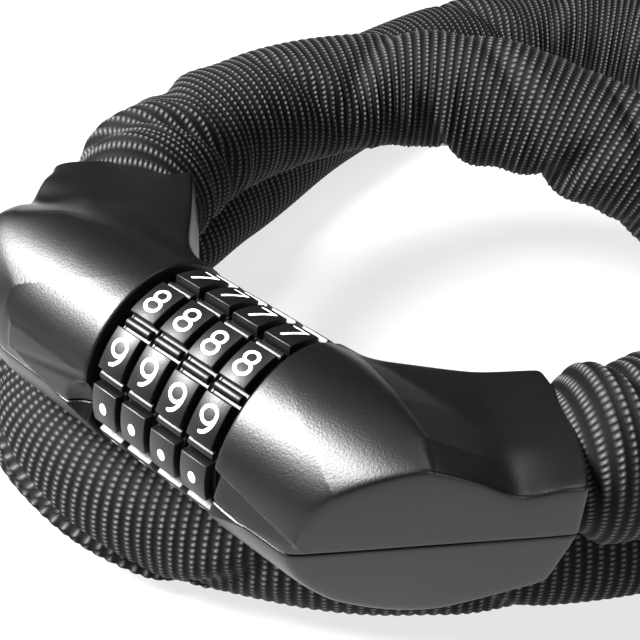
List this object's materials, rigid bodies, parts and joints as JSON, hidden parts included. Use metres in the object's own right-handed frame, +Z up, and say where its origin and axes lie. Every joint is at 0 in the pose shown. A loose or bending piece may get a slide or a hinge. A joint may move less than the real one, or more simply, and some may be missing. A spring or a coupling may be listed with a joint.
{
  "type": "combination chain lock",
  "caption": "Black combination chain lock with a square-link chain in a woven sleeve, coiled on a table.",
  "frame": {"origin": "centre of the underside of the coiled lock, on the table", "axes": "+X along the dial axis from the plug half to the lock half, +Y from the lock across the chain loop, +Z up"},
  "size_m": [0.2168, 0.2464, 0.062],
  "materials": {
    "housing_plastic": "fine-grained satin black moulding",
    "dial_plastic": "satin black with white printed digits",
    "brass_parts": "machined",
    "steel_parts": "zinc plated",
    "chain_steel": "hardened, dull grey plated",
    "sleeve_fabric": "ribbed black nylon weave with a slight sheen"
  },
  "bodies": {
    "lock_half": {"lock_cover_top": "housing_plastic", "lock_cover_bottom": "housing_plastic", "core_tube": "steel_parts", "core_retaining_ring": "steel_parts", "dial_spacers": "steel_parts", "detent_spring": "steel_parts", "lock_anchor_pin": "steel_parts", "lock_screws": "steel_parts", "sleeve_lock_end": "sleeve_fabric", "sleeve_lock_front": "sleeve_fabric", "sleeve_lock_back": "sleeve_fabric", "chain_link_19": "chain_steel", "chain_link_20": "chain_steel", "chain_link_21": "chain_steel", "chain_link_22": "chain_steel", "chain_link_23": "chain_steel", "chain_link_24": "chain_steel", "chain_link_25": "chain_steel", "chain_link_26": "chain_steel", "chain_link_27": "chain_steel", "chain_link_28": "chain_steel", "chain_link_29": "chain_steel", "chain_link_30": "chain_steel", "chain_link_31": "chain_steel"},
    "plug_half": {"plug_cover_top": "housing_plastic", "plug_cover_bottom": "housing_plastic", "plug_bolt": "steel_parts", "plug_anchor_pin": "steel_parts", "plug_screws": "steel_parts", "sleeve_plug_end": "sleeve_fabric", "sleeve_plug_upper": "sleeve_fabric", "sleeve_plug_lower": "sleeve_fabric", "chain_link_01": "chain_steel", "chain_link_02": "chain_steel", "chain_link_03": "chain_steel", "chain_link_04": "chain_steel", "chain_link_05": "chain_steel", "chain_link_06": "chain_steel", "chain_link_07": "chain_steel", "chain_link_08": "chain_steel", "chain_link_09": "chain_steel", "chain_link_10": "chain_steel", "chain_link_11": "chain_steel", "chain_link_12": "chain_steel", "chain_link_13": "chain_steel", "chain_link_14": "chain_steel", "chain_link_15": "chain_steel"},
    "chain_middle": {"sleeve_middle": "sleeve_fabric", "chain_link_16": "chain_steel", "chain_link_17": "chain_steel", "chain_link_18": "chain_steel"},
    "dial_1_turning": {"dial_1": "dial_plastic", "code_ring_1": "brass_parts"},
    "dial_2_turning": {"dial_2": "dial_plastic", "code_ring_2": "brass_parts"},
    "dial_3_turning": {"dial_3": "dial_plastic", "code_ring_3": "brass_parts"},
    "dial_4_turning": {"dial_4": "dial_plastic", "code_ring_4": "brass_parts"}
  },
  "joints": [
    {"name": "plug_slide", "type": "slide", "parent": "lock_half", "child": "plug_half", "axis": [-1, 0, 0], "range_m": [0, 0.032]},
    {"name": "chain_middle_swing", "type": "hinge", "parent": "lock_half", "child": "chain_middle", "pos_m": [-0.09034, 0.05239, 0.0136], "axis": [0, 0, 1], "range_deg": [-18.5, 0]},
    {"name": "dial_1_spin", "type": "hinge", "parent": "lock_half", "child": "dial_1_turning", "pos_m": [-0.01827, -0.10091, 0.045], "axis": [1, 0, 0], "continuous": true},
    {"name": "dial_2_spin", "type": "hinge", "parent": "lock_half", "child": "dial_2_turning", "pos_m": [-0.01827, -0.10091, 0.045], "axis": [1, 0, 0], "continuous": true},
    {"name": "dial_3_spin", "type": "hinge", "parent": "lock_half", "child": "dial_3_turning", "pos_m": [-0.01827, -0.10091, 0.045], "axis": [1, 0, 0], "continuous": true},
    {"name": "dial_4_spin", "type": "hinge", "parent": "lock_half", "child": "dial_4_turning", "pos_m": [-0.01827, -0.10091, 0.045], "axis": [1, 0, 0], "continuous": true}
  ],
  "couplings": [
    {"joint": "chain_middle_swing", "follows": "plug_slide", "rad_per_m": -9.9979}
  ]
}
